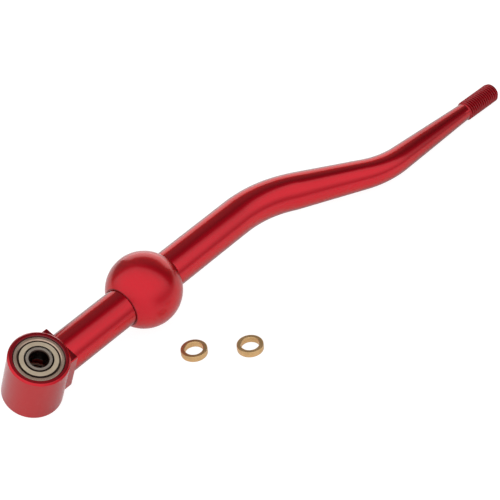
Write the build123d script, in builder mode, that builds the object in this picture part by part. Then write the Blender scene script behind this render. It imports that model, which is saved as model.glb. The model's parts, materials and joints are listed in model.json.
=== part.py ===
"""Double-bend gear shift lever with a bearing housing, a pivot ball and two loose spacer rings.

Row frame, millimetres: the origin is the centre of the pivot ball and +Z is up. The lever lies on a
flat surface at Z = -BALL_RADIUS, on three points: the ball, the housing's lower rim and the end of
the thread. +X runs along the lower rod, from the housing towards the thread.

The lever has its own frame, LEVER: x along the lower rod, y in the plane of the bends, and z along
the bearings' axis.
"""

from build123d import *
import math
import os

# ---- Driving dimensions -------------------------------------------------------------------------

BALL_RADIUS = 17.5
BALL_FLAT = 14.7               # the ball's two flats, from its centre

ROD_RADIUS = 9.0
AXIS_TO_BALL = 68.0            # bearing axis to ball centre
FIRST_STRAIGHT = 63.0          # ball centre to the first bend
FIRST_BEND_RADIUS = 75.0
FIRST_BEND_ANGLE = 24.0
PARALLEL_RUN = 3.6             # full diameter, after the first bend
TAPER_RUN = 38.4               # from there to the second bend
SECOND_BEND_RADIUS = 62.0
SECOND_BEND_ANGLE = 21.0
LAST_STRAIGHT = 51.0
NECK_RADIUS = 4.3              # end of the taper, at the thread

THREAD_RADIUS = 4.97           # M10 x 1.5
THREAD_PITCH = 1.5
THREAD_FLANK = 30.0            # each flank, from square across the thread
THREAD_LENGTH = 23.0
THREAD_DEPTH = 0.6134 * THREAD_PITCH
THREAD_CREST = THREAD_PITCH / 8
CREST_MARGIN = 0.01            # keeps the chamfering cut clear of the crest
THREAD_CHAMFER = 0.9

HOUSING_RADIUS = 13.5
HOUSING_LENGTH = 27.5
HOUSING_CHAMFER = 0.8
HOUSING_BORE = 10.0
MOUTH_CHAMFER = 0.4
NECK_END = 53.7                # face of the square neck, from the ball centre
NECK_WIDTH = 19.2
NECK_HEIGHT = 22.4
NECK_CHAMFER = 0.5
SPIGOT_RADIUS = 6.0            # the rod's pressed end
SPIGOT_LENGTH = 3.5

BEARING_OUTER = 11.0           # 8 x 22 x 7 deep-groove ball bearing
BEARING_BORE = 4.0
BEARING_WIDTH = 7.0
BEARING_RECESS = 0.5           # below the housing's end face
RING_CHAMFER = 0.3
PITCH_RADIUS = 7.5
BALL_COUNT = 7
BEARING_BALL = 3.969 / 2
GROOVE_RADIUS = 2.06
RACE_CLEARANCE = 0.026
INNER_SHOULDER = 5.9
OUTER_SHOULDER = 8.9
LIP_RADIUS = 9.15              # outer ring, inside the cone at its face
CONE_RADIUS = 9.7
CONE_DEPTH = 0.45
SHIELD_GROOVE = 9.35
SHIELD_GROOVE_Z = (2.45, 2.85)
SHIELD_SHEET = 0.25
SHIELD_STEP = 8.6
SHIELD_INNER = 6.4
SHIELD_DEPTH = 0.15            # the shield's flat, below the bearing's face
CAGE_INNER = 6.85
CAGE_OUTER = 8.15
CAGE_SHEET = 0.3
CAGE_GAP = 0.01
CAGE_GRIP = CAGE_GAP + CAGE_SHEET
POCKET_RADIUS = BEARING_BALL + 0.07
RIVET_RADIUS = 0.3
RIVET_HEAD_RADIUS = 0.5
RIVET_HEAD_HEIGHT = 0.2

SPACER_OUTER = 6.0
SPACER_BORE = 4.05
SPACER_HEIGHT = 3.0
SPACER_CHAMFER = 0.4
SPACER_PLACES = {"left_spacer": (-5.1, -32.6), "right_spacer": (11.5, -51.1)}

REST_ROUNDS = 40               # enough for the resting direction to settle


# ---- How the lever lies -------------------------------------------------------------------------

def thread_end():
    """Centre and direction, in the lever's frame, of the last full thread crest."""
    first = math.radians(FIRST_BEND_ANGLE)
    last = math.radians(SECOND_BEND_ANGLE - FIRST_BEND_ANGLE)
    slope_run = PARALLEL_RUN + TAPER_RUN
    end_run = LAST_STRAIGHT + THREAD_LENGTH - THREAD_CHAMFER
    x = FIRST_STRAIGHT + FIRST_BEND_RADIUS * math.sin(first) + slope_run * math.cos(first)
    y = -FIRST_BEND_RADIUS * (1 - math.cos(first)) - slope_run * math.sin(first)
    x += SECOND_BEND_RADIUS * (math.sin(first) + math.sin(last)) + end_run * math.cos(last)
    y += -SECOND_BEND_RADIUS * (math.cos(last) - math.cos(first)) + end_run * math.sin(last)
    return Vector(x, y, 0), Vector(math.cos(last), math.sin(last), 0)


def resting_up():
    """The upward direction, in the lever's frame, when ball, housing rim and thread end touch down."""
    rim_centre = Vector(-AXIS_TO_BALL, 0, -HOUSING_LENGTH / 2)
    rim_radius = HOUSING_RADIUS - HOUSING_CHAMFER
    tip_centre, tip_direction = thread_end()
    up = Vector(0, 0, 1)
    for _ in range(REST_ROUNDS):
        rim_drop = rim_radius * math.sqrt(1 - up.Z ** 2)
        tip_drop = THREAD_RADIUS * math.sqrt(1 - up.dot(tip_direction) ** 2)
        rim_height = rim_drop - BALL_RADIUS
        tip_height = tip_drop - BALL_RADIUS
        # up.X and up.Y follow from the tip and the rim; the length of 1 gives up.Z
        x = (rim_height - rim_centre.Z * up.Z) / rim_centre.X
        y = (tip_height - tip_centre.X * x) / tip_centre.Y
        up = Vector(x, y, math.sqrt(max(0.0, 1 - x * x - y * y)))
    return up


def lever_plane():
    """The lever's frame, turned so that its resting_up direction is +Z and its x stays over +X."""
    up = resting_up()
    rise = up.X
    run = math.sqrt(1 - rise ** 2)
    x_dir = Vector(run, 0, rise)
    side = Vector(-rise * up.Y / run, up.Z / run, up.Y)
    return Plane(origin=(0, 0, 0), x_dir=x_dir, z_dir=x_dir.cross(side))


LEVER = lever_plane()


def lever_point(x, y, z):
    return LEVER.from_local_coords(Vector(x, y, z))


def cross_plane(z):
    """Plane across the bearings' axis, at height z along it."""
    return Plane(origin=lever_point(-AXIS_TO_BALL, 0, z), x_dir=LEVER.x_dir, z_dir=LEVER.z_dir)


def section_plane(z, out=1):
    """Plane through the bearings' axis: x is the radius, and y runs along the axis, outwards."""
    return Plane(
        origin=lever_point(-AXIS_TO_BALL, 0, z), x_dir=LEVER.x_dir, z_dir=LEVER.y_dir * -out
    )


def save(builder, name):
    builder.part.label = name
    export_step(builder.part, f"parts/{name}.step")


os.makedirs("parts", exist_ok=True)

# ---- Shift rod ----------------------------------------------------------------------------------

with BuildLine(LEVER) as spine:
    lower = Line((-NECK_END, 0), (FIRST_STRAIGHT, 0))
    bend_down = JernArc(
        start=lower @ 1, tangent=lower % 1, radius=FIRST_BEND_RADIUS, arc_size=-FIRST_BEND_ANGLE
    )
    slope = PolarLine(
        start=bend_down @ 1, length=PARALLEL_RUN + TAPER_RUN, angle=-FIRST_BEND_ANGLE
    )
    bend_up = JernArc(
        start=slope @ 1, tangent=slope % 1, radius=SECOND_BEND_RADIUS, arc_size=SECOND_BEND_ANGLE
    )
    upper = PolarLine(
        start=bend_up @ 1, length=LAST_STRAIGHT, angle=SECOND_BEND_ANGLE - FIRST_BEND_ANGLE
    )

SECOND_BEND_LENGTH = SECOND_BEND_RADIUS * math.radians(SECOND_BEND_ANGLE)
TAPER_PER_MM = (ROD_RADIUS - NECK_RADIUS) / (TAPER_RUN + SECOND_BEND_LENGTH + LAST_STRAIGHT)
RADIUS_BEFORE_BEND = ROD_RADIUS - TAPER_PER_MM * TAPER_RUN
RADIUS_AFTER_BEND = RADIUS_BEFORE_BEND - TAPER_PER_MM * SECOND_BEND_LENGTH
BEND_SECTIONS = 4              # steps of the loft that tapers round the second bend


def square_to(point, direction):
    """Plane across the rod at a point of its spine."""
    return Plane(origin=point, x_dir=LEVER.z_dir, z_dir=direction)


def along(point, direction):
    """Plane through the rod's axis: x runs along the rod, and y is the radius."""
    return Plane(origin=point, x_dir=direction, z_dir=direction.cross(LEVER.z_dir))


def polar_point(radius, degrees):
    angle = math.radians(degrees)
    return radius * math.cos(angle), radius * math.sin(angle)


thread_start = upper @ 1
thread_direction = upper % 1

# Cut square across, a screw thread is a cam: a crest arc, a root arc and a spiral on each side.
# The thread is that cam, drawn along its axis while it turns once for each pitch.
CREST_HALF = 180 * THREAD_CREST / THREAD_PITCH
FLANK_TURN = 360 * THREAD_DEPTH * math.tan(math.radians(THREAD_FLANK)) / THREAD_PITCH
SPIRAL_STEPS = 6
spiral = [
    polar_point(
        THREAD_RADIUS - THREAD_DEPTH * step / SPIRAL_STEPS, CREST_HALF + FLANK_TURN * step / SPIRAL_STEPS
    )
    for step in range(SPIRAL_STEPS + 1)
]
mirrored_spiral = [(x, -y) for x, y in spiral]

with BuildSketch(square_to(thread_start, thread_direction)) as thread_cam:
    with BuildLine():
        Spline(*spiral)
        Spline(*mirrored_spiral)
        ThreePointArc(mirrored_spiral[0], (THREAD_RADIUS, 0), spiral[0])
        ThreePointArc(spiral[-1], (THREAD_DEPTH - THREAD_RADIUS, 0), mirrored_spiral[-1])
    make_face()

twisted_cam = Solid.extrude_linear_with_rotation(
    thread_cam.sketch.faces()[0],
    center=thread_start,
    normal=thread_direction * THREAD_LENGTH,
    angle=360 * THREAD_LENGTH / THREAD_PITCH,
)

with BuildPart() as thread:
    add(twisted_cam)
    with BuildSketch(along(thread_start, thread_direction)):
        with BuildLine():
            Polyline(
                (0, 0),
                (0, NECK_RADIUS),
                (THREAD_RADIUS - NECK_RADIUS, THREAD_RADIUS + CREST_MARGIN),
                (THREAD_LENGTH - THREAD_CHAMFER, THREAD_RADIUS + CREST_MARGIN),
                (THREAD_LENGTH, THREAD_RADIUS - THREAD_CHAMFER),
                (THREAD_LENGTH, 0),
                close=True,
            )
        make_face()
    revolve(axis=Axis(thread_start, thread_direction), mode=Mode.INTERSECT)

with BuildPart() as shift_rod:
    with BuildSketch(square_to(lower @ 0, lower % 0)):
        Circle(ROD_RADIUS)
    extrude(amount=NECK_END + FIRST_STRAIGHT)
    with BuildSketch(square_to(lower @ 0, lower % 0)):
        Circle(SPIGOT_RADIUS)
    extrude(amount=-SPIGOT_LENGTH)
    with BuildSketch(square_to(bend_down @ 0, bend_down % 0)):
        Circle(ROD_RADIUS)
    sweep(path=bend_down)
    with BuildSketch(along(slope @ 0, slope % 0)):
        with BuildLine():
            Polyline(
                (0, 0),
                (0, ROD_RADIUS),
                (PARALLEL_RUN, ROD_RADIUS),
                (PARALLEL_RUN + TAPER_RUN, RADIUS_BEFORE_BEND),
                (PARALLEL_RUN + TAPER_RUN, 0),
                close=True,
            )
        make_face()
    revolve(axis=Axis(slope @ 0, slope % 0))
    for step in range(BEND_SECTIONS + 1):
        way = step / BEND_SECTIONS
        with BuildSketch(square_to(bend_up @ way, bend_up % way)):
            Circle(RADIUS_BEFORE_BEND - TAPER_PER_MM * SECOND_BEND_LENGTH * way)
    loft()
    with BuildSketch(along(upper @ 0, upper % 0)):
        with BuildLine():
            Polyline(
                (0, 0),
                (0, RADIUS_AFTER_BEND),
                (LAST_STRAIGHT, NECK_RADIUS),
                (LAST_STRAIGHT, 0),
                close=True,
            )
        make_face()
    revolve(axis=Axis(upper @ 0, upper % 0))
    add(thread.part)
save(shift_rod, "shift_rod")

# ---- Pivot ball ---------------------------------------------------------------------------------

with BuildPart() as pivot_ball:
    with BuildSketch(LEVER):
        with BuildLine():
            flat_radius = math.sqrt(BALL_RADIUS ** 2 - BALL_FLAT ** 2)
            surface = ThreePointArc((-BALL_FLAT, flat_radius), (0, BALL_RADIUS), (BALL_FLAT, flat_radius))
            Polyline(surface @ 1, (BALL_FLAT, ROD_RADIUS), (-BALL_FLAT, ROD_RADIUS), surface @ 0)
        make_face()
    revolve(axis=Axis((0, 0, 0), LEVER.x_dir))
save(pivot_ball, "pivot_ball")

# ---- Bearing housing ----------------------------------------------------------------------------

with BuildPart() as bearing_housing:
    half = HOUSING_LENGTH / 2
    with BuildSketch(section_plane(0)):
        with BuildLine():
            Polyline(
                (0, -half),
                (HOUSING_RADIUS - HOUSING_CHAMFER, -half),
                (HOUSING_RADIUS, -half + HOUSING_CHAMFER),
                (HOUSING_RADIUS, half - HOUSING_CHAMFER),
                (HOUSING_RADIUS - HOUSING_CHAMFER, half),
                (0, half),
                close=True,
            )
        make_face()
    bearing_axis = Axis(cross_plane(0).origin, LEVER.z_dir)
    revolve(axis=bearing_axis)
    neck_plane = square_to(lower @ 0, lower % 0)
    with BuildSketch(neck_plane):
        Rectangle(NECK_HEIGHT, NECK_WIDTH)
        chamfer(vertices(), length=NECK_CHAMFER)
    extrude(amount=-(AXIS_TO_BALL - NECK_END))
    with BuildSketch(neck_plane):
        Circle(SPIGOT_RADIUS)
    extrude(amount=-SPIGOT_LENGTH, mode=Mode.SUBTRACT)
    seat = half - BEARING_RECESS - BEARING_WIDTH
    with BuildSketch(section_plane(0)):
        with BuildLine():
            Polyline(
                (0, -half),
                (BEARING_OUTER + MOUTH_CHAMFER, -half),
                (BEARING_OUTER, -half + MOUTH_CHAMFER),
                (BEARING_OUTER, -seat),
                (HOUSING_BORE, -seat),
                (HOUSING_BORE, seat),
                (BEARING_OUTER, seat),
                (BEARING_OUTER, half - MOUTH_CHAMFER),
                (BEARING_OUTER + MOUTH_CHAMFER, half),
                (0, half),
                close=True,
            )
        make_face()
    revolve(axis=bearing_axis, mode=Mode.SUBTRACT)
save(bearing_housing, "bearing_housing")

# ---- Ball bearings ------------------------------------------------------------------------------


def ring_arc(radius_at_groove, shoulder):
    """Half height of a race groove where it meets its shoulder, and the groove's centre radius."""
    outward = 1 if shoulder > PITCH_RADIUS else -1
    centre = radius_at_groove - outward * GROOVE_RADIUS
    return math.sqrt(GROOVE_RADIUS ** 2 - (shoulder - centre) ** 2)


def make_outer_ring(name, plane, axis):
    width = BEARING_WIDTH / 2
    bottom = PITCH_RADIUS + BEARING_BALL + RACE_CLEARANCE
    groove = ring_arc(bottom, OUTER_SHOULDER)
    low, high = SHIELD_GROOVE_Z
    upper_half = [
        (BEARING_OUTER, width - RING_CHAMFER),
        (BEARING_OUTER - RING_CHAMFER, width),
        (CONE_RADIUS, width),
        (LIP_RADIUS, width - CONE_DEPTH),
        (LIP_RADIUS, high),
        (SHIELD_GROOVE, high),
        (SHIELD_GROOVE, low),
        (OUTER_SHOULDER, low),
        (OUTER_SHOULDER, groove),
    ]
    lower_half = [(x, -y) for x, y in reversed(upper_half)]
    with BuildPart() as ring:
        with BuildSketch(plane):
            with BuildLine():
                Polyline(*upper_half)
                ThreePointArc(upper_half[-1], (bottom, 0), lower_half[0])
                Polyline(*lower_half)
                Line(lower_half[-1], upper_half[0])
            make_face()
        revolve(axis=axis)
    save(ring, name)


def make_inner_ring(name, plane, axis):
    width = BEARING_WIDTH / 2
    bottom = PITCH_RADIUS - BEARING_BALL - RACE_CLEARANCE
    groove = ring_arc(bottom, INNER_SHOULDER)
    upper_half = [
        (BEARING_BORE, width - RING_CHAMFER),
        (BEARING_BORE + RING_CHAMFER, width),
        (INNER_SHOULDER - RING_CHAMFER, width),
        (INNER_SHOULDER, width - RING_CHAMFER),
        (INNER_SHOULDER, groove),
    ]
    lower_half = [(x, -y) for x, y in reversed(upper_half)]
    with BuildPart() as ring:
        with BuildSketch(plane):
            with BuildLine():
                Polyline(*upper_half)
                ThreePointArc(upper_half[-1], (bottom, 0), lower_half[0])
                Polyline(*lower_half)
                Line(lower_half[-1], upper_half[0])
            make_face()
        revolve(axis=axis)
    save(ring, name)


def make_shield(name, plane, axis):
    """Pressed sheet cover: a flat near the face, a step, and a rim that snaps in the outer ring."""
    top = BEARING_WIDTH / 2 - SHIELD_DEPTH
    foot = SHIELD_GROOVE_Z[0]
    with BuildPart() as shield:
        with BuildSketch(plane):
            with BuildLine():
                Polyline(
                    (SHIELD_INNER, top),
                    (SHIELD_STEP, top),
                    (SHIELD_STEP, foot + SHIELD_SHEET),
                    (SHIELD_GROOVE, foot + SHIELD_SHEET),
                    (SHIELD_GROOVE, foot),
                    (SHIELD_STEP - SHIELD_SHEET, foot),
                    (SHIELD_STEP - SHIELD_SHEET, top - SHIELD_SHEET),
                    (SHIELD_INNER, top - SHIELD_SHEET),
                    close=True,
                )
            make_face()
        revolve(axis=axis)
    save(shield, name)


def make_bearing_balls(name, plane):
    with BuildPart(plane) as balls:
        with PolarLocations(PITCH_RADIUS, BALL_COUNT):
            Sphere(BEARING_BALL)
    save(balls, name)


def make_cage_half(name, plane):
    """Pressed ribbon with a pocket over each ball, on the side that the plane faces."""
    shell = POCKET_RADIUS + CAGE_SHEET
    with BuildPart(plane) as cage:
        with BuildSketch(plane.offset(CAGE_GAP)):
            Circle(CAGE_OUTER)
            Circle(CAGE_INNER, mode=Mode.SUBTRACT)
        extrude(amount=CAGE_SHEET)
        with PolarLocations(PITCH_RADIUS, BALL_COUNT):
            Sphere(shell)
        with BuildSketch(plane.offset(CAGE_GAP)):
            Circle(CAGE_OUTER)
            Circle(CAGE_INNER, mode=Mode.SUBTRACT)
        extrude(amount=shell, mode=Mode.INTERSECT)
        with PolarLocations(PITCH_RADIUS, BALL_COUNT):
            Sphere(POCKET_RADIUS, mode=Mode.SUBTRACT)
        with PolarLocations(PITCH_RADIUS, BALL_COUNT, start_angle=180 / BALL_COUNT):
            Cylinder(RIVET_RADIUS, 2 * CAGE_GRIP, mode=Mode.SUBTRACT)
    save(cage, name)


def make_rivets(name, plane):
    with BuildPart(plane) as rivets:
        with PolarLocations(PITCH_RADIUS, BALL_COUNT, start_angle=180 / BALL_COUNT):
            Cylinder(RIVET_RADIUS, 2 * CAGE_GRIP)
        for side in (1, -1):
            with BuildSketch(plane.offset(side * CAGE_GRIP)):
                with PolarLocations(PITCH_RADIUS, BALL_COUNT, start_angle=180 / BALL_COUNT):
                    Circle(RIVET_HEAD_RADIUS)
            extrude(amount=side * RIVET_HEAD_HEIGHT)
    save(rivets, name)


def make_bearing(prefix, out):
    """All pieces of one bearing; out is 1 for the upper end of the housing and -1 for the lower."""
    centre = out * (HOUSING_LENGTH / 2 - BEARING_RECESS - BEARING_WIDTH / 2)
    outward = section_plane(centre, out)
    inward = section_plane(centre, -out)
    middle = cross_plane(centre)
    axis = Axis(middle.origin, LEVER.z_dir)
    front = Plane(origin=middle.origin, x_dir=LEVER.x_dir, z_dir=LEVER.z_dir * out)
    back = Plane(origin=middle.origin, x_dir=LEVER.x_dir, z_dir=LEVER.z_dir * -out)
    make_outer_ring(f"{prefix}_outer_ring", outward, axis)
    make_inner_ring(f"{prefix}_inner_ring", outward, axis)
    make_bearing_balls(f"{prefix}_bearing_balls", middle)
    make_cage_half(f"{prefix}_cage_outer_half", front)
    make_cage_half(f"{prefix}_cage_inner_half", back)
    make_rivets(f"{prefix}_cage_rivets", middle)
    make_shield(f"{prefix}_outer_shield", outward, axis)
    make_shield(f"{prefix}_inner_shield", inward, axis)


make_bearing("upper", 1)
make_bearing("lower", -1)

# ---- Loose spacer rings -------------------------------------------------------------------------

for spacer_name, (spacer_x, spacer_y) in SPACER_PLACES.items():
    with BuildPart() as spacer:
        spacer_foot = Plane(origin=(spacer_x, spacer_y, -BALL_RADIUS))
        with BuildSketch(spacer_foot):
            Circle(SPACER_OUTER)
            Circle(SPACER_BORE, mode=Mode.SUBTRACT)
        extrude(amount=SPACER_HEIGHT)
        chamfer(spacer.edges().filter_by(GeomType.CIRCLE), length=SPACER_CHAMFER)
    save(spacer, spacer_name)

# ---- Readings for the record --------------------------------------------------------------------


def metres(vector):
    return [round(value / 1000, 6) for value in vector]


def unit(vector):
    return [round(value, 6) for value in vector]


print("bearing axis at", metres(cross_plane(0).origin), "direction", unit(LEVER.z_dir))
print("lever x", unit(LEVER.x_dir), "y", unit(LEVER.y_dir))
for level in (1, -1):
    face = level * (HOUSING_LENGTH / 2 - BEARING_RECESS)
    print("inner ring face", metres(cross_plane(face).origin))
print("thread", metres(thread_start), "to", metres(thread_start + thread_direction * THREAD_LENGTH))
print("thread direction", unit(thread_direction))
print("neck face", metres(lower @ 0))
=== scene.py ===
"""Looks of the gear shift lever: its fine shapes, materials, studio and camera."""
import json
import math

import bmesh
import bpy
from mathutils import Matrix, Vector

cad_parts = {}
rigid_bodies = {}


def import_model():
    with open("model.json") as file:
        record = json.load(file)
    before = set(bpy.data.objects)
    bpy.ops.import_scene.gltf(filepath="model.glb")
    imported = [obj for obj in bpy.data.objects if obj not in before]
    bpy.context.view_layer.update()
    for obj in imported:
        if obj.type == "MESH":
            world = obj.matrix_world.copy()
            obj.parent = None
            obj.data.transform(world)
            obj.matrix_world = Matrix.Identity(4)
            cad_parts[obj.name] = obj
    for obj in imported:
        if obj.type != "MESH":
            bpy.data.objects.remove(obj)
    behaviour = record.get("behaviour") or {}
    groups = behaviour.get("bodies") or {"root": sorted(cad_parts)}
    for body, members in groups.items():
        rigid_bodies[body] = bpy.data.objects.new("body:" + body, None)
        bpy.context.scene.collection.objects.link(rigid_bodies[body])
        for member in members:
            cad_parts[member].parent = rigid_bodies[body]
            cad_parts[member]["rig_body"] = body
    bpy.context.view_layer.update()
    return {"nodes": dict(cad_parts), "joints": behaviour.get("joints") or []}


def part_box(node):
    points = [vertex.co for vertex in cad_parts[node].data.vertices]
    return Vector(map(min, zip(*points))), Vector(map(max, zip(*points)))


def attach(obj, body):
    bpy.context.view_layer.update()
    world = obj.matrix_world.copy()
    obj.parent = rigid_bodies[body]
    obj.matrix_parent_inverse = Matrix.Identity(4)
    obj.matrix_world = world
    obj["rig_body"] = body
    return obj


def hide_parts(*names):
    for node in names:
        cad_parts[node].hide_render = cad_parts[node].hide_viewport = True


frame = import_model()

MM = 0.001
UPWARD = Vector((0, 0, 1))
WHITE = (1, 1, 1, 1)

# ---- Places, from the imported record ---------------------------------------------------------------

joints = {joint["name"]: joint for joint in frame["joints"]}
bearing_axis = Vector(joints["upper_inner_spin"]["axis"]).normalized()
housing_centre = Vector(joints["upper_inner_spin"]["pos_m"])
rod_direction = (-housing_centre).normalized()
bend_side = bearing_axis.cross(rod_direction)
floor_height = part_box("left_spacer")[0].z

# The lever's own frame: x along the lower rod, y in the plane of the bends, z along the bearings.
LEVER = Matrix((rod_direction, bend_side, bearing_axis)).transposed()
ALONG_BEARINGS = Vector((0, 0, 1))

# ---- Driving dimensions ---------------------------------------------------------------------------

AXIS_TO_BALL = housing_centre.length
BALL_RADIUS = 17.5 * MM
BALL_FLAT = 14.7 * MM           # from the ball's centre to each flat

ROD_RADIUS = 9.0 * MM
FIRST_STRAIGHT = 63.0 * MM      # from the ball's centre to the first bend
FIRST_BEND_RADIUS = 75.0 * MM
FIRST_BEND_ANGLE = math.radians(24.0)
PARALLEL_RUN = 3.6 * MM         # after the first bend, before the taper
TAPER_RUN = 38.4 * MM           # the taper's part before the second bend
SECOND_BEND_RADIUS = 62.0 * MM
SECOND_BEND_ANGLE = math.radians(21.0)
LAST_STRAIGHT = 51.0 * MM
NECK_RADIUS = 4.3 * MM          # the rod where its thread starts

THREAD_RADIUS = 4.97 * MM
THREAD_PITCH = 1.5 * MM
THREAD_LENGTH = 23.0 * MM
THREAD_CHAMFER = 0.9 * MM
THREAD_FLANK = math.radians(30.0)
THREAD_DEPTH = 0.6134 * THREAD_PITCH
THREAD_CREST = THREAD_PITCH / 8

HOUSING_RADIUS = 13.5 * MM
HOUSING_LENGTH = 27.5 * MM
HOUSING_CHAMFER = 0.8 * MM
HOUSING_BORE = 10.0 * MM
MOUTH_CHAMFER = 0.4 * MM
NECK_END = 53.7 * MM            # from the ball's centre to the neck's front face
NECK_WIDTH = 19.2 * MM
NECK_HEIGHT = 22.4 * MM
NECK_CHAMFER = 0.5 * MM
NECK_SINK = 1.2 * MM            # how deep the neck goes into the housing's wall
SPIGOT_RADIUS = 6.0 * MM
SPIGOT_LENGTH = 3.5 * MM

# Lengths along the rod. Its taper and its thread start this far from its foot, which is in the neck.
TAPER_START = NECK_END + FIRST_STRAIGHT + FIRST_BEND_RADIUS * FIRST_BEND_ANGLE + PARALLEL_RUN
TAPER_LENGTH = TAPER_RUN + SECOND_BEND_RADIUS * SECOND_BEND_ANGLE + LAST_STRAIGHT
THREAD_START = TAPER_START + TAPER_LENGTH

BEARING_OUTER = 11.0 * MM
BEARING_BORE = 4.0 * MM
BEARING_WIDTH = 7.0 * MM
BEARING_RECESS = 0.5 * MM
BEARING_PLACE = HOUSING_LENGTH / 2 - BEARING_RECESS - BEARING_WIDTH / 2
RING_CHAMFER = 0.3 * MM
INNER_CHAMFER = 0.7 * RING_CHAMFER
BORE_ROUND = 0.6 * MM
PITCH_RADIUS = 7.5 * MM         # of the circle through the balls' centres
RACE_RADIUS = 2.06 * MM
RACE_BOTTOM = 2.0105 * MM       # from that circle to the bottom of each race
INNER_SHOULDER = 5.9 * MM
OUTER_SHOULDER = 8.9 * MM
LIP_RADIUS = 9.15 * MM
CONE_RADIUS = 9.7 * MM
CONE_DEPTH = 0.45 * MM
SHIELD_GROOVE = 9.35 * MM
GROOVE_LOW = 2.45 * MM
GROOVE_HIGH = 2.85 * MM
SHIELD_SHEET = 0.25 * MM
SHIELD_STEP = 8.6 * MM
SHIELD_INNER = 6.4 * MM
SHIELD_DEPTH = 0.15 * MM

SPACER_BORE = 4.05 * MM
SPACER_ROUND = 0.4 * MM

EDGE_ROUND = 0.15 * MM          # rounding that breaks a machined edge
FINE_ROUND = 0.05 * MM          # rounding of a sheet or a small step
ROUND_BULGE = 0.3               # depth of a rounding's middle, as a share of the whole rounding's

# ---- Fineness of the meshes -----------------------------------------------------------------------

SEGMENTS = 128                  # steps round a turned piece
ROD_SEGMENTS = 96               # steps round the rod
BEND_STATIONS = 40              # rings along each bend of the rod
THREAD_ROWS = 16                # rows of faces to one turn of the thread
NECK_COLUMNS = 24               # faces across the neck's top
ARC_STEP = math.radians(3)      # along an arc of an outline
ROUND_STEP = math.radians(18)   # along the rounding of an edge
ROD_MERGE = 0.0005 * MM         # points nearer than this become one
ROD_CREASE = math.radians(32)   # edges sharper than this stay sharp
HOUSING_MERGE = 0.001 * MM
HOUSING_CREASE = math.radians(40)

# ---- Camera ---------------------------------------------------------------------------------------

CAMERA_AZIMUTH = math.radians(-45.401)
CAMERA_ELEVATION = math.radians(38.961)
CAMERA_ROLL = math.radians(-6.504)
CAMERA_DISTANCE = 0.84432
CAMERA_LENS = 128.934
CAMERA_AIM = Vector((0.06380, -0.00611, floor_height))


def view_axes(azimuth, elevation):
    """Right, up and back of a level camera; azimuth 0 looks along +Y."""
    back = Vector((
        math.sin(azimuth) * math.cos(elevation),
        -math.cos(azimuth) * math.cos(elevation),
        math.sin(elevation),
    ))
    right = Vector((math.cos(azimuth), math.sin(azimuth), 0))
    return right, back.cross(right), back


def make_camera():
    right, up, back = view_axes(CAMERA_AZIMUTH, CAMERA_ELEVATION)
    roll = Matrix.Rotation(CAMERA_ROLL, 3, back)
    facing = Matrix((roll @ right, roll @ up, back)).transposed().to_4x4()
    data = bpy.data.cameras.new("camera")
    data.lens = CAMERA_LENS
    data.sensor_width = 36.0
    data.clip_start = 0.01
    camera = bpy.data.objects.new("camera", data)
    camera.matrix_world = Matrix.Translation(CAMERA_AIM + back * CAMERA_DISTANCE) @ facing
    bpy.context.scene.collection.objects.link(camera)
    bpy.context.scene.camera = camera


make_camera()

# ---- Node helpers ---------------------------------------------------------------------------------


class Nodes:
    """A short way to write a node tree: each method adds a node and gives one of its outputs."""

    def __init__(self, tree):
        self.tree = tree
        tree.nodes.clear()

    def add(self, kind, inputs=None, output=0, **settings):
        node = self.tree.nodes.new(kind)
        for name, value in settings.items():
            setattr(node, name, value)
        for name, value in (inputs or {}).items():
            socket = node.inputs[name]
            if isinstance(value, bpy.types.NodeSocket):
                self.tree.links.new(value, socket)
            else:
                socket.default_value = value
        return node.outputs[output] if node.outputs else None

    def math(self, operation, a, b=0.0):
        return self.add("ShaderNodeMath", {0: a, 1: b}, operation=operation)

    def vector(self, operation, a, b=(0, 0, 0), output=0):
        return self.add("ShaderNodeVectorMath", {0: a, 1: b}, output, operation=operation)

    def dot(self, a, b):
        return self.vector("DOT_PRODUCT", a, b, "Value")

    def off_line(self, offset, line):
        """Distance of an offset from the line through its start that has this unit direction."""
        return self.vector("LENGTH", self.vector("CROSS_PRODUCT", offset, line), output="Value")

    def ramp(self, value, low, high, to_low=0.0, to_high=1.0):
        return self.add(
            "ShaderNodeMapRange",
            {"Value": value, "From Min": low, "From Max": high, "To Min": to_low, "To Max": to_high},
            interpolation_type="SMOOTHSTEP",
        )

    def noise(self, where, scale, detail, roughness=0.5):
        return self.add(
            "ShaderNodeTexNoise",
            {"Vector": where, "Scale": scale, "Detail": detail, "Roughness": roughness},
        )

    def band(self, value, low, high, soft):
        """1 between two values, and 0 beyond them."""
        return self.math(
            "MULTIPLY", self.ramp(value, low - soft, low), self.ramp(value, high + soft, high)
        )

    def mix(self, share, first, second):
        """A colour between two others."""
        ends = [end if isinstance(end, bpy.types.NodeSocket) else (*end, 1) for end in (first, second)]
        return self.add("ShaderNodeMix", {0: share, 6: ends[0], 7: ends[1]}, 2, data_type="RGBA")

    def blend(self, share, first, second):
        """A number between two others."""
        return self.add("ShaderNodeMix", {0: share, 2: first, 3: second})

    def bump(self, height, distance):
        return self.add("ShaderNodeBump", {"Height": height, "Distance": distance})

    def object_place(self):
        return self.add("ShaderNodeTexCoord", output="Object")

    def along_rod(self):
        """Place in the straightened rod: z runs along it from its foot."""
        return self.add("ShaderNodeAttribute", output="Vector", attribute_name="along_rod")

    def turned(self, centre, axis):
        """Distance from an axis, and height along it."""
        offset = self.vector("SUBTRACT", self.object_place(), centre)
        return self.off_line(offset, axis), self.dot(offset, axis)

    def turning_marks(self, centre, axis, across, along):
        """A place that stays the same round an axis, so that noise becomes marks of turning."""
        radius, height = self.turned(centre, axis)
        place = self.add("ShaderNodeCombineXYZ", {0: radius, 1: height})
        return self.vector("MULTIPLY", place, (across, along, 0))


def new_material(name):
    material = bpy.data.materials.new(name)
    material.use_nodes = True
    return material, Nodes(material.node_tree)


# ---- Studio ---------------------------------------------------------------------------------------

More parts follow.
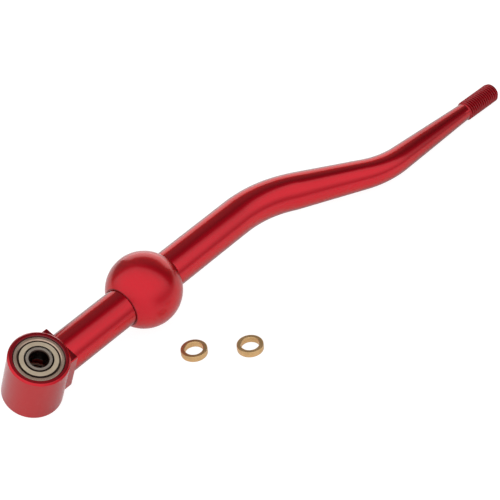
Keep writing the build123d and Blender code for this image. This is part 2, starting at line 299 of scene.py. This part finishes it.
# Level directions away from the camera and to its right, which the light is placed by.
FORWARD = Vector((-math.sin(CAMERA_AZIMUTH), math.cos(CAMERA_AZIMUTH), 0))
RIGHTWARD = Vector((math.cos(CAMERA_AZIMUTH), math.sin(CAMERA_AZIMUTH), 0))

# Places in the surroundings are parts of a unit direction: ahead, aside or up.
BANK_LIGHT = 1.1
BANK_WHOLE = 0.25               # the bank of light is whole up to here ahead
BANK_GONE = 0.40                # and has ended here
BANK_SLANT = 0.33               # its end comes this much nearer for each step to the right
BANK_SLANT_LEFT = -0.25         # and stays level to the left of here
OPEN_HORIZON = 0.95
DIM_HORIZON = 0.56
OPEN_ASIDE = 0.3                # the horizon is bright up to here to each side
DIM_ASIDE = 0.65                # and dim from here on
HORIZON_LOW = -0.05             # its light changes to the bank's from this height
HORIZON_HIGH = 0.4              # to this one
ARCH_LIGHT = 0.1                # the dark arch beyond the bank
GLOW_LIGHT = 0.28               # and its furthest part
GLOW_START = 0.3
GLOW_WHOLE = 0.65


def make_world():
    """A wide bank of light on the camera's side, and a dark arch beyond it."""
    world = bpy.data.worlds.new("studio")
    world.use_nodes = True
    nodes = Nodes(world.node_tree)
    direction = nodes.add("ShaderNodeTexCoord", output="Generated")
    ahead = nodes.dot(direction, FORWARD)
    aside = nodes.dot(direction, RIGHTWARD)
    height = nodes.dot(direction, UPWARD)
    slant = nodes.math("MULTIPLY", nodes.math("MAXIMUM", aside, BANK_SLANT_LEFT), BANK_SLANT)
    bank = nodes.ramp(nodes.math("ADD", ahead, slant), BANK_GONE, BANK_WHOLE)
    to_side = nodes.math("ABSOLUTE", aside)
    horizon = nodes.ramp(to_side, OPEN_ASIDE, DIM_ASIDE, OPEN_HORIZON, DIM_HORIZON)
    bright = nodes.ramp(height, HORIZON_LOW, HORIZON_HIGH, horizon, BANK_LIGHT)
    dark = nodes.ramp(ahead, GLOW_START, GLOW_WHOLE, ARCH_LIGHT, GLOW_LIGHT)
    light = nodes.blend(bank, dark, bright)
    studio = nodes.add("ShaderNodeBackground", {"Color": WHITE, "Strength": light})
    plain = nodes.add("ShaderNodeBackground", {"Color": WHITE, "Strength": 1.0})
    seen = nodes.add("ShaderNodeLightPath", output="Is Camera Ray")
    surface = nodes.add("ShaderNodeMixShader", {0: seen, 1: studio, 2: plain})
    nodes.add("ShaderNodeOutputWorld", {"Surface": surface})
    bpy.context.scene.world = world


PANEL_WIDTH = 0.65
PANEL_HEIGHT = 0.225
PANEL_AHEAD = 0.40
PANEL_ASIDE = 0.155
PANEL_LIGHT = 1.25


def make_panel_light():
    """The bright panel that stands on the floor beyond the object."""
    data = bpy.data.lights.new("backdrop_light", "AREA")
    data.shape = "RECTANGLE"
    data.size = PANEL_WIDTH
    data.size_y = PANEL_HEIGHT
    data.energy = math.pi * PANEL_WIDTH * PANEL_HEIGHT * PANEL_LIGHT
    light = bpy.data.objects.new("backdrop_light", data)
    middle = UPWARD * (floor_height + PANEL_HEIGHT / 2)
    place = FORWARD * PANEL_AHEAD + RIGHTWARD * PANEL_ASIDE + middle
    facing = (-FORWARD).to_track_quat("-Z", "Y").to_matrix().to_4x4()
    light.matrix_world = Matrix.Translation(place) @ facing
    light.visible_camera = False
    bpy.context.scene.collection.objects.link(light)


FLOOR_HALF = 4.0
FLOOR_WHITE = (0.85, 0.85, 0.85)
FLOOR_GLOW = 0.28
NEAR_REACH = 0.035              # this near to the lever's line, the painted pool of light on the paper is at its brightest
FAR_REACH = 0.12                # and this far from it, on the camera's right,
FAR_SHARE = 0.5                 # it has this share of that brightness
SEEN_WHITE = (0.2, 0.2, 0.2)
SEEN_GLOW = 0.93


def make_floor():
    """White paper, burnt out to plain white where the camera sees it; elsewhere it carries a painted
    pool of light along the lever's line.
    """
    mesh = bpy.data.meshes.new("floor")
    corners = [(-1, -1), (1, -1), (1, 1), (-1, 1)]
    places = [(x * FLOOR_HALF, y * FLOOR_HALF, floor_height) for x, y in corners]
    mesh.from_pydata(places, [], [(0, 1, 2, 3)])
    floor = bpy.data.objects.new("floor", mesh)
    bpy.context.scene.collection.objects.link(floor)
    material, nodes = new_material("floor_white")

    rod_low, rod_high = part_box("shift_rod")
    lever_foot = Vector((housing_centre.x, housing_centre.y, floor_height))
    lever_end = Vector((rod_high.x, rod_low.y, floor_height))
    lever_line = (lever_end - lever_foot).normalized()
    reach = nodes.off_line(nodes.vector("SUBTRACT", nodes.object_place(), lever_foot), lever_line)
    aside = nodes.dot(nodes.vector("NORMALIZE", nodes.object_place()), RIGHTWARD)
    # Painted light and shade: the paper's whiteness and glow fade with distance from the lever's line.
    far_share = nodes.ramp(aside, OPEN_ASIDE, DIM_ASIDE, 1.0, FAR_SHARE)
    share = nodes.ramp(reach, NEAR_REACH, FAR_REACH, 1.0, far_share)

    def paper(colour, glow):
        return nodes.add(
            "ShaderNodeBsdfPrincipled",
            {"Base Color": colour, "Roughness": 0.9, "Specular IOR Level": 0.0,
             "Emission Color": WHITE, "Emission Strength": glow},
        )

    lit = paper(nodes.mix(share, (0, 0, 0), FLOOR_WHITE), nodes.math("MULTIPLY", share, FLOOR_GLOW))
    burnt_out = paper((*SEEN_WHITE, 1), SEEN_GLOW)
    seen = nodes.add("ShaderNodeLightPath", output="Is Camera Ray")
    surface = nodes.add("ShaderNodeMixShader", {0: seen, 1: lit, 2: burnt_out})
    nodes.add("ShaderNodeOutputMaterial", {"Surface": surface})
    mesh.materials.append(material)


make_world()
make_panel_light()
make_floor()
bpy.context.scene.view_settings.view_transform = "Standard"

# ---- Anodised aluminium ---------------------------------------------------------------------------

DYE_CLOUDS = 45.0               # per metre
DYE_DARK = (0.58, 0.0, 0.011)
DYE_LIGHT = (0.64, 0.002, 0.016)
DYE_SPREAD = 0.04               # how far the marks change the roughness
SEAL_IOR = 1.4

SLIM_DYE = (0.47, 0.0, 0.01)    # the rod's slim end
SLIM_START = 200.0 * MM         # along the rod from its foot
SLIM_END = 235.0 * MM
THREAD_DYE = (0.33, 0.001, 0.008)
WALL_DYE = (0.5, 0.0, 0.011)    # the housing's turned wall
MILLED_DYE = (0.56, 0.0, 0.012)  # the housing's flat ends
MOUTH_PAINTED_SHADE = (0.1, 0.0, 0.003)  # painted shade on the housing's edge round each bearing
JOINT_PAINTED_SHADE = (0.3, 0.0, 0.008)  # painted shade at the joints between ball and rod
DARK_ROUGHNESS = 0.4


def anodised(name, roughness, coat_roughness, edge_tint, grain_place, grain_depth, zones):
    """Red dyed anodising: tinted metal under a clear sealed layer.

    Each zone is a share, and the colour and roughness that take over where the share is 1.
    """
    material, nodes = new_material(name)
    cloud = nodes.noise(nodes.object_place(), scale=DYE_CLOUDS, detail=3.0)
    colour = nodes.mix(cloud, DYE_DARK, DYE_LIGHT)
    for share, zone_colour, zone_roughness in zones(nodes):
        colour = nodes.mix(share, colour, zone_colour)
        roughness = nodes.blend(share, roughness, zone_roughness)
    grain = nodes.noise(grain_place(nodes), scale=1.0, detail=4.0, roughness=0.65)
    spread = nodes.ramp(grain, 0.2, 0.8, -DYE_SPREAD, DYE_SPREAD)
    shader = nodes.add(
        "ShaderNodeBsdfPrincipled",
        {"Base Color": colour, "Metallic": 1.0, "Roughness": nodes.math("ADD", spread, roughness),
         "Specular Tint": (edge_tint, 0.0, 0.0, 1), "Normal": nodes.bump(grain, grain_depth),
         "Coat Weight": 1.0, "Coat Roughness": coat_roughness, "Coat IOR": SEAL_IOR},
    )
    nodes.add("ShaderNodeOutputMaterial", {"Surface": shader})
    return material


def rod_grain(nodes):
    """Fine polishing marks that run along the rod, round its bends: marks per metre each way."""
    return nodes.vector("MULTIPLY", nodes.along_rod(), (1400, 1400, 40))


def rod_zones(nodes):
    """The slim end is dyed deeper, the thread deeper still, and the joints at the ball are darkened
    with painted shade.
    """
    run = nodes.add("ShaderNodeSeparateXYZ", {0: nodes.along_rod()}, "Z")
    from_ball = nodes.math("ABSOLUTE", nodes.math("SUBTRACT", run, NECK_END))
    # Painted shade: a dark band round the rod where it enters the ball's flats.
    joint = nodes.band(from_ball, BALL_FLAT, BALL_FLAT + 0.1 * MM, 0.15 * MM)
    return [
        (joint, JOINT_PAINTED_SHADE, DARK_ROUGHNESS),
        (nodes.ramp(run, SLIM_START, SLIM_END), SLIM_DYE, 0.3),
        (nodes.ramp(run, THREAD_START - MM, THREAD_START + MM), THREAD_DYE, 0.42),
    ]


def ball_grain(nodes):
    return nodes.turning_marks((0, 0, 0), rod_direction, 500, 900)


def ball_zones(nodes):
    """The joints between the ball's flats and the rod are darkened with painted shade."""
    _, height = nodes.turned((0, 0, 0), rod_direction)
    joint = nodes.ramp(nodes.math("ABSOLUTE", height), BALL_FLAT - 0.3 * MM, BALL_FLAT - 0.1 * MM)
    return [(joint, JOINT_PAINTED_SHADE, DARK_ROUGHNESS)]


def housing_grain(nodes):
    return nodes.turning_marks(housing_centre, bearing_axis, 1500, 2200)


def housing_zones(nodes):
    """The milled ends are smoother than the wall, and the mouth round each bearing is darkened with
    painted shade.
    """
    normal = nodes.add("ShaderNodeTexCoord", output="Normal")
    facing = nodes.math("ABSOLUTE", nodes.dot(normal, bearing_axis))
    radius, _ = nodes.turned(housing_centre, bearing_axis)
    # Painted shade: the housing's mouth chamfer round each bearing is darkened.
    mouth = nodes.band(radius, BEARING_OUTER - 0.2 * MM, BEARING_OUTER + 0.3 * MM, 0.3 * MM)
    return [
        (nodes.ramp(facing, 0.3, 0.1), WALL_DYE, 0.42),
        (nodes.ramp(facing, 0.85, 0.97), MILLED_DYE, 0.2),
        (mouth, MOUTH_PAINTED_SHADE, DARK_ROUGHNESS),
    ]


RED_ROD = anodised("red_rod", 0.3, 0.06, 0.05, rod_grain, 0.002 * MM, rod_zones)
RED_BALL = anodised("red_ball", 0.42, 0.17, 0.3, ball_grain, 0.001 * MM, ball_zones)
RED_HOUSING = anodised("red_housing", 0.42, 0.16, 0.4, housing_grain, 0.003 * MM, housing_zones)

# ---- Steel and bronze -----------------------------------------------------------------------------

METAL_CLOUDS = 180.0            # per metre
METAL_SPREAD = 0.06             # how far the marks change the roughness
MARKS_ACROSS = 9000             # marks of turning, per metre of radius
MARKS_ALONG = 3000              # and of height
CREVICE_PAINTED_SHADE = (0.05, 0.03, 0.024)
CREVICE_SOFT = 0.12 * MM


def bare_metal(name, light, dark, roughness, centre, axis, grain_depth, crevices=()):
    """Turned or ground metal with fine marks round its axis, with painted shade in its crevices.

    Each crevice is the radius where it starts and the radius where it ends.
    """
    material, nodes = new_material(name)
    marks = nodes.turning_marks(centre, axis, MARKS_ACROSS, MARKS_ALONG)
    grain = nodes.noise(marks, scale=1.0, detail=3.0, roughness=0.6)
    cloud = nodes.noise(nodes.object_place(), scale=METAL_CLOUDS, detail=3.0)
    colour = nodes.mix(nodes.ramp(cloud, 0.3, 0.7), dark, light)
    radius, _ = nodes.turned(centre, axis)
    # Painted shade: each crevice's band of radii is darkened.
    for start, end in crevices:
        colour = nodes.mix(nodes.band(radius, start, end, CREVICE_SOFT), colour, CREVICE_PAINTED_SHADE)
    spread = nodes.ramp(grain, 0.25, 0.75, roughness - METAL_SPREAD, roughness + METAL_SPREAD)
    shader = nodes.add(
        "ShaderNodeBsdfPrincipled",
        {"Base Color": colour, "Metallic": 1.0, "Roughness": spread,
         "Normal": nodes.bump(grain, grain_depth)},
    )
    nodes.add("ShaderNodeOutputMaterial", {"Surface": shader})
    return material


def bearing_metal(name, light, dark, roughness, grain_depth, crevices=()):
    centre = housing_centre + bearing_axis * BEARING_PLACE
    return bare_metal(name, light, dark, roughness, centre, bearing_axis, grain_depth, crevices)


# Painted shade in the bearings' gaps: the outer ring at its lip and its outside edge, the inner ring in
# its bore and at its shoulder, the shield at its inner edge and its step.
OUTER_STEEL = bearing_metal(
    "outer_ring_steel", (0.55, 0.4, 0.31), (0.47, 0.34, 0.26), 0.3, 0.001 * MM,
    ((8.0 * MM, LIP_RADIUS + 0.05 * MM), (BEARING_OUTER - 0.1 * MM, 12.0 * MM)),
)
INNER_STEEL = bearing_metal(
    "inner_ring_steel", (0.55, 0.48, 0.4), (0.47, 0.4, 0.34), 0.3, 0.001 * MM,
    ((0.0, BEARING_BORE + 0.5 * MM), (INNER_SHOULDER - 0.15 * MM, 7.0 * MM)),
)
CAGE_STEEL = bearing_metal("cage_steel", (0.6, 0.56, 0.5), (0.5, 0.46, 0.4), 0.4, 0.001 * MM)
SHIELD_SHEET_STEEL = bearing_metal(
    "shield_steel", (0.72, 0.61, 0.46), (0.64, 0.53, 0.39), 0.5, 0.002 * MM,
    ((5.0 * MM, SHIELD_INNER + 0.05 * MM), (SHIELD_STEP - 0.05 * MM, 10.0 * MM)),
)


def bronze(node, foot):
    return bare_metal(
        f"bronze_{node}", (0.69, 0.45, 0.22), (0.58, 0.37, 0.17), 0.36, foot, UPWARD, 0.002 * MM
    )


# ---- Mesh helpers ---------------------------------------------------------------------------------


def finish_piece(name, mesh, material, node):
    """Makes the piece that stands for a CAD node, on the same body."""
    mesh.materials.append(material)
    piece = bpy.data.objects.new(name, mesh)
    bpy.context.scene.collection.objects.link(piece)
    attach(piece, frame["nodes"][node]["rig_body"])
    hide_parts(node)
    return piece


def clean_mesh(mesh, merge, crease):
    """Merges points, turns every face outwards and shades smoothly between sharp edges."""
    work = bmesh.new()
    work.from_mesh(mesh)
    bmesh.ops.remove_doubles(work, verts=work.verts, dist=merge)
    bmesh.ops.dissolve_degenerate(work, edges=work.edges, dist=merge)
    bmesh.ops.holes_fill(work, edges=[edge for edge in work.edges if edge.is_boundary], sides=0)
    bmesh.ops.recalc_face_normals(work, faces=work.faces)
    work.to_mesh(mesh)
    work.free()
    mesh.shade_smooth()
    mesh.set_sharp_from_angle(angle=crease)


def direction_of(angle):
    return Vector((math.cos(angle), math.sin(angle)))


def arc(centre, radius, start, end):
    """Points of an arc in an outline, both ends included."""
    steps = max(2, math.ceil(abs(end - start) / ARC_STEP))
    angles = [start + (end - start) * step / steps for step in range(steps + 1)]
    return [(centre[0] + radius * math.cos(a), centre[1] + radius * math.sin(a)) for a in angles]


def unrounded(points):
    """Outline corners that stay as they are."""
    return [(x, y, 0.0) for x, y in points]


def mirrored(corners):
    """The lower half of an outline that is the same above and below, from its upper half."""
    return [(x, -y, rounding) for x, y, rounding in reversed(corners)]


def round_outline(corners):
    """Points and outward normals of a closed outline.

    Each corner is (x, y, rounding), and the outline runs anticlockwise.
    """
    points = []
    count = len(corners)
    for index, (x, y, rounding) in enumerate(corners):
        here = Vector((x, y))
        before = (here - Vector(corners[index - 1][:2])).normalized()
        after = (Vector(corners[(index + 1) % count][:2]) - here).normalized()
        turn = math.atan2(before.cross(after), before.dot(after))
        heading = math.atan2(-before.x, before.y)
        if rounding == 0:
            points.append((here, direction_of(heading + turn / 2)))
            continue
        reach = rounding * math.tan(abs(turn) / 2)
        side = math.copysign(1, turn)
        centre = here - before * reach - direction_of(heading) * rounding * side
        steps = max(2, math.ceil(abs(turn) / ROUND_STEP))
        for step in range(steps + 1):
            normal = direction_of(heading + turn * step / steps)
            points.append((centre + normal * rounding * side, normal))
    return points


def lathe(name, corners, centre, axis):
    """Turns a closed outline of (radius, height) corners round an axis."""
    across = axis.orthogonal().normalized()
    other = axis.cross(across)
    outline = round_outline(corners)
    places, normals, faces = [], [], []
    for segment in range(SEGMENTS):
        angle = 2 * math.pi * segment / SEGMENTS
        outward = across * math.cos(angle) + other * math.sin(angle)
        for point, normal in outline:
            places.append(centre + outward * point.x + axis * point.y)
            normals.append(outward * normal.x + axis * normal.y)
    rows = len(outline)
    for segment in range(SEGMENTS):
        here = segment * rows
        following = ((segment + 1) % SEGMENTS) * rows
        for row in range(rows):
            up = (row + 1) % rows
            faces.append((here + row, following + row, following + up, here + up))
    mesh = bpy.data.meshes.new(name)
    mesh.from_pydata(places, [], faces)
    mesh.shade_smooth()
    mesh.normals_split_custom_set_from_vertices(normals)
    return mesh


# ---- Rod ------------------------------------------------------------------------------------------


def rod_stations():
    """Centre, heading, radius and run of each ring of the rod, from the neck up to the thread.

    Centres are in the plane of the bends, and a run is a distance along the rod from its foot.
    """
    narrowing = (ROD_RADIUS - NECK_RADIUS) / TAPER_LENGTH
    place = Vector((-NECK_END, 0))
    heading = run = tapered = 0.0
    stations = [(place, heading, ROD_RADIUS, run)]

    def go(length, steps, turn=0.0, tapering=False):
        nonlocal place, heading, run, tapered
        half_turn = turn / steps / 2
        chord = length / steps
        if turn:
            chord *= math.sin(half_turn) / half_turn
        for _ in range(steps):
            heading += half_turn
            place = place + direction_of(heading) * chord
            heading += half_turn
            run += length / steps
            tapered += length / steps if tapering else 0
            stations.append((place, heading, ROD_RADIUS - narrowing * tapered, run))

    go(NECK_END + FIRST_STRAIGHT, steps=24)
    go(FIRST_BEND_RADIUS * FIRST_BEND_ANGLE, BEND_STATIONS, turn=-FIRST_BEND_ANGLE)
    go(PARALLEL_RUN, steps=2)
    go(TAPER_RUN, steps=12, tapering=True)
    go(SECOND_BEND_RADIUS * SECOND_BEND_ANGLE, BEND_STATIONS, turn=SECOND_BEND_ANGLE, tapering=True)
    go(LAST_STRAIGHT, steps=16, tapering=True)
    return stations


def thread_radius(along, turn):
    """Radius of the thread at a distance along it, with its run-in and the chamfer at its end."""
    phase = (along / THREAD_PITCH - turn) % 1.0
    from_crest = min(phase, 1 - phase) * THREAD_PITCH
    drop = (from_crest - THREAD_CREST / 2) / math.tan(THREAD_FLANK)
    radius = THREAD_RADIUS - min(max(drop, 0), THREAD_DEPTH)
    radius = min(max(radius, NECK_RADIUS - along), NECK_RADIUS + along)
    return min(radius, THREAD_RADIUS - along + THREAD_LENGTH - THREAD_CHAMFER)


def rod_surface():
    """Points of the rod, their places in the straightened rod, and its faces."""
    places, marks, faces = [], [], []

    def put(place, heading, radius, run, segment):
        angle = 2 * math.pi * segment / ROD_SEGMENTS
        side = Vector((-math.sin(heading), math.cos(heading), 0))
        outward = side * math.cos(angle) + ALONG_BEARINGS * math.sin(angle)
        places.append(LEVER @ (place.to_3d() + outward * radius))
        marks.append((math.cos(angle) * ROD_RADIUS, math.sin(angle) * ROD_RADIUS, run))

    stations = rod_stations()
    spigot = [(Vector((x, 0)), 0.0, SPIGOT_RADIUS, 0.0) for x in (-NECK_END - SPIGOT_LENGTH, -NECK_END)]
    for place, heading, radius, run in spigot + stations:
        for segment in range(ROD_SEGMENTS + 1):
            put(place, heading, radius, run, segment)

    # Each row of the thread follows its helix, and both ends of a row are held to the thread's length.
    end_place, end_heading, _, end_run = stations[-1]
    turns = math.ceil(THREAD_LENGTH / THREAD_PITCH) + 1
    for row in range(-THREAD_ROWS, turns * THREAD_ROWS + 1):
        for segment in range(ROD_SEGMENTS + 1):
            turn = segment / ROD_SEGMENTS
            along = min(max((row / THREAD_ROWS + turn) * THREAD_PITCH, 0), THREAD_LENGTH)
            place = end_place + direction_of(end_heading) * along
            put(place, end_heading, thread_radius(along, turn), end_run + along, segment)

    width = ROD_SEGMENTS + 1
    for row in range(len(places) // width - 1):
        for segment in range(ROD_SEGMENTS):
            first = row * width + segment
            faces.append((first, first + 1, first + width + 1, first + width))
    return places, marks, faces


def make_rod():
    places, marks, faces = rod_surface()
    mesh = bpy.data.meshes.new("shift_rod_fine")
    mesh.from_pydata(places, [], faces)
    attribute = mesh.attributes.new("along_rod", "FLOAT_VECTOR", "POINT")
    attribute.data.foreach_set("vector", [value for mark in marks for value in mark])
    clean_mesh(mesh, ROD_MERGE, ROD_CREASE)
    finish_piece("shift_rod_fine", mesh, RED_ROD, "shift_rod")


make_rod()

# ---- Ball -----------------------------------------------------------------------------------------


def make_ball():
    reach = math.acos(BALL_FLAT / BALL_RADIUS)
    surface = arc((0, 0), BALL_RADIUS, reach - math.pi / 2, math.pi / 2 - reach)
    corners = [(ROD_RADIUS, -BALL_FLAT, FINE_ROUND), (*surface[0], EDGE_ROUND)]
    corners += unrounded(surface[1:-1])
    corners += [(*surface[-1], EDGE_ROUND), (ROD_RADIUS, BALL_FLAT, FINE_ROUND)]
    mesh = lathe("pivot_ball_fine", corners, Vector((0, 0, 0)), rod_direction)
    finish_piece("pivot_ball_fine", mesh, RED_BALL, "pivot_ball")


make_ball()

# ---- Housing --------------------------------------------------------------------------------------


def loose_object(mesh):
    piece = bpy.data.objects.new(mesh.name, mesh)
    bpy.context.scene.collection.objects.link(piece)
    return piece


def joined_mesh(first, second):
    """The union of two meshes, without the custom normals that they bring."""
    piece, tool = loose_object(first), loose_object(second)
    modifier = piece.modifiers.new("join", "BOOLEAN")
    modifier.operation = "UNION"
    modifier.solver = "EXACT"
    modifier.object = tool
    graph = bpy.context.evaluated_depsgraph_get()
    mesh = bpy.data.meshes.new_from_object(piece.evaluated_get(graph))
    bpy.data.objects.remove(piece)
    bpy.data.objects.remove(tool)
    if mesh.has_custom_normals:
        mesh.attributes.remove(mesh.attributes["custom_normal"])
    return mesh


def housing_tube():
    half = HOUSING_LENGTH / 2
    seat = half - BEARING_RECESS - BEARING_WIDTH
    upper = [
        (HOUSING_RADIUS, half - HOUSING_CHAMFER, EDGE_ROUND),
        (HOUSING_RADIUS - HOUSING_CHAMFER, half, EDGE_ROUND),
        (BEARING_OUTER + MOUTH_CHAMFER, half, EDGE_ROUND),
        (BEARING_OUTER, half - MOUTH_CHAMFER, EDGE_ROUND),
        (BEARING_OUTER, seat, FINE_ROUND),
        (HOUSING_BORE, seat, FINE_ROUND),
    ]
    return lathe("bearing_housing_fine", upper + mirrored(upper), housing_centre, bearing_axis)


def neck_columns():
    """Across and height of the neck's upper edge, from one side to the other."""
    straight = NECK_WIDTH / 2 - NECK_CHAMFER
    height = NECK_HEIGHT / 2
    top = [
        (-straight + 2 * straight * step / NECK_COLUMNS, height) for step in range(NECK_COLUMNS + 1)
    ]
    right = arc((straight, height - NECK_CHAMFER), NECK_CHAMFER, math.pi / 2, 0)
    left = [(-x, y) for x, y in reversed(right)]
    return left[:-1] + top + right[1:]


def neck_block():
    """The square neck: a block whose back follows the inside of the housing's wall."""
    columns = neck_columns()
    sunk_radius = HOUSING_RADIUS - NECK_SINK
    front = AXIS_TO_BALL - NECK_END
    rounding = 2 * EDGE_ROUND
    shrink = (NECK_WIDTH / 2 - rounding) / (NECK_WIDTH / 2)
    halfway = (1 + shrink) / 2
    sections = [
        [(math.sqrt(sunk_radius ** 2 - y ** 2), y, z) for y, z in columns],
        [(front - rounding, y, z) for y, z in columns],
        [(front - rounding * ROUND_BULGE, y * halfway, z * halfway) for y, z in columns],
        [(front, y * shrink, z * shrink) for y, z in columns],
    ]
    places, faces = [], []
    for section in sections:
        for sign in (1, -1):
            places += [housing_centre + LEVER @ Vector((x, y, z * sign)) for x, y, z in section]

    count = len(columns)
    last = len(sections) - 1

    def at(section, sign, column):
        return section * 2 * count + (0 if sign > 0 else count) + column

    for column in range(count - 1):
        for section in (0, last):
            faces.append((
                at(section, 1, column), at(section, 1, column + 1),
                at(section, -1, column + 1), at(section, -1, column),
            ))
    for section in range(last):
        for sign in (1, -1):
            for column in range(count - 1):
                faces.append((
                    at(section, sign, column), at(section + 1, sign, column),
                    at(section + 1, sign, column + 1), at(section, sign, column + 1),
                ))
        for column in (0, count - 1):
            faces.append((
                at(section, 1, column), at(section + 1, 1, column),
                at(section + 1, -1, column), at(section, -1, column),
            ))
    mesh = bpy.data.meshes.new("neck")
    mesh.from_pydata(places, [], faces)
    clean_mesh(mesh, HOUSING_MERGE, HOUSING_CREASE)
    return mesh


def make_housing():
    mesh = joined_mesh(housing_tube(), neck_block())
    clean_mesh(mesh, HOUSING_MERGE, HOUSING_CREASE)
    piece = finish_piece("bearing_housing_fine", mesh, RED_HOUSING, "bearing_housing")
    weighted = piece.modifiers.new("flat faces", "WEIGHTED_NORMAL")
    weighted.keep_sharp = True


make_housing()

# ---- Bearings -------------------------------------------------------------------------------------


def race(bottom_radius, shoulder, outward):
    """The balls' groove in a ring, which lies outwards (1) or inwards (-1) of the balls."""
    centre = bottom_radius - outward * RACE_RADIUS
    reach = math.acos(abs(shoulder - centre) / RACE_RADIUS)
    if outward > 0:
        return unrounded(arc((centre, 0), RACE_RADIUS, reach, -reach))
    return unrounded(arc((centre, 0), RACE_RADIUS, math.pi + reach, math.pi - reach))


def outer_ring_outline():
    half = BEARING_WIDTH / 2
    upper = [
        (BEARING_OUTER, half, RING_CHAMFER),
        (CONE_RADIUS, half, FINE_ROUND),
        (LIP_RADIUS, half - CONE_DEPTH, FINE_ROUND),
        (LIP_RADIUS, GROOVE_HIGH, FINE_ROUND / 2),
        (SHIELD_GROOVE, GROOVE_HIGH, FINE_ROUND / 2),
        (SHIELD_GROOVE, GROOVE_LOW, FINE_ROUND / 2),
        (OUTER_SHOULDER, GROOVE_LOW, FINE_ROUND),
    ]
    return upper + race(PITCH_RADIUS + RACE_BOTTOM, OUTER_SHOULDER, 1) + mirrored(upper)


def inner_ring_outline():
    half = BEARING_WIDTH / 2
    upper = [(INNER_SHOULDER, half, INNER_CHAMFER), (BEARING_BORE, half, BORE_ROUND)]
    return upper + mirrored(upper) + race(PITCH_RADIUS - RACE_BOTTOM, INNER_SHOULDER, -1)


def shield_outline():
    top = BEARING_WIDTH / 2 - SHIELD_DEPTH
    return [
        (SHIELD_INNER, top, FINE_ROUND * 2),
        (SHIELD_INNER, top - SHIELD_SHEET, FINE_ROUND),
        (SHIELD_STEP - SHIELD_SHEET, top - SHIELD_SHEET, FINE_ROUND),
        (SHIELD_STEP - SHIELD_SHEET, GROOVE_LOW, FINE_ROUND),
        (SHIELD_GROOVE, GROOVE_LOW, FINE_ROUND),
        (SHIELD_GROOVE, GROOVE_LOW + SHIELD_SHEET, FINE_ROUND),
        (SHIELD_STEP, GROOVE_LOW + SHIELD_SHEET, FINE_ROUND),
        (SHIELD_STEP, top, FINE_ROUND * 4),
    ]


def make_bearing(end, outward):
    """The rings and the outer shield of one bearing, whose outer side faces along outward."""
    centre = housing_centre + outward * BEARING_PLACE
    pieces = (
        ("outer_ring", outer_ring_outline(), OUTER_STEEL, "bearing_steel"),
        ("inner_ring", inner_ring_outline(), INNER_STEEL, "bearing_steel"),
        ("outer_shield", shield_outline(), SHIELD_SHEET_STEEL, "shield_steel"),
    )
    for part, outline, material, slot in pieces:
        name = f"{end}_{part}_fine"
        mesh = lathe(name, outline, centre, outward)
        finish_piece(name, mesh, material, f"{end}_{part}")


make_bearing("upper", bearing_axis)
make_bearing("lower", -bearing_axis)

# ---- Spacer rings ---------------------------------------------------------------------------------


def make_spacer(node):
    low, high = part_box(node)
    foot = Vector(((low.x + high.x) / 2, (low.y + high.y) / 2, low.z))
    radius = (high.x - low.x) / 2
    height = high.z - low.z
    outline = [
        (radius, 0, SPACER_ROUND), (radius, height, SPACER_ROUND),
        (SPACER_BORE, height, SPACER_ROUND), (SPACER_BORE, 0, SPACER_ROUND),
    ]
    mesh = lathe(f"{node}_fine", outline, foot, UPWARD)
    piece = finish_piece(f"{node}_fine", mesh, bronze(node, foot), node)
    piece.visible_glossy = False  # the lever shows no reflection of the loose rings


for spacer in ("left_spacer", "right_spacer"):
    make_spacer(spacer)

# ---- Pieces inside the bearings, which keep their CAD shapes --------------------------------------

INSIDE_STEEL = {
    "bearing_balls": CAGE_STEEL,
    "cage_outer_half": CAGE_STEEL,
    "cage_inner_half": CAGE_STEEL,
    "cage_rivets": CAGE_STEEL,
    "inner_shield": SHIELD_SHEET_STEEL,
}

for end in ("upper", "lower"):
    for part, steel in INSIDE_STEEL.items():
        materials = frame["nodes"][f"{end}_{part}"].data.materials
        materials.clear()
        materials.append(steel)
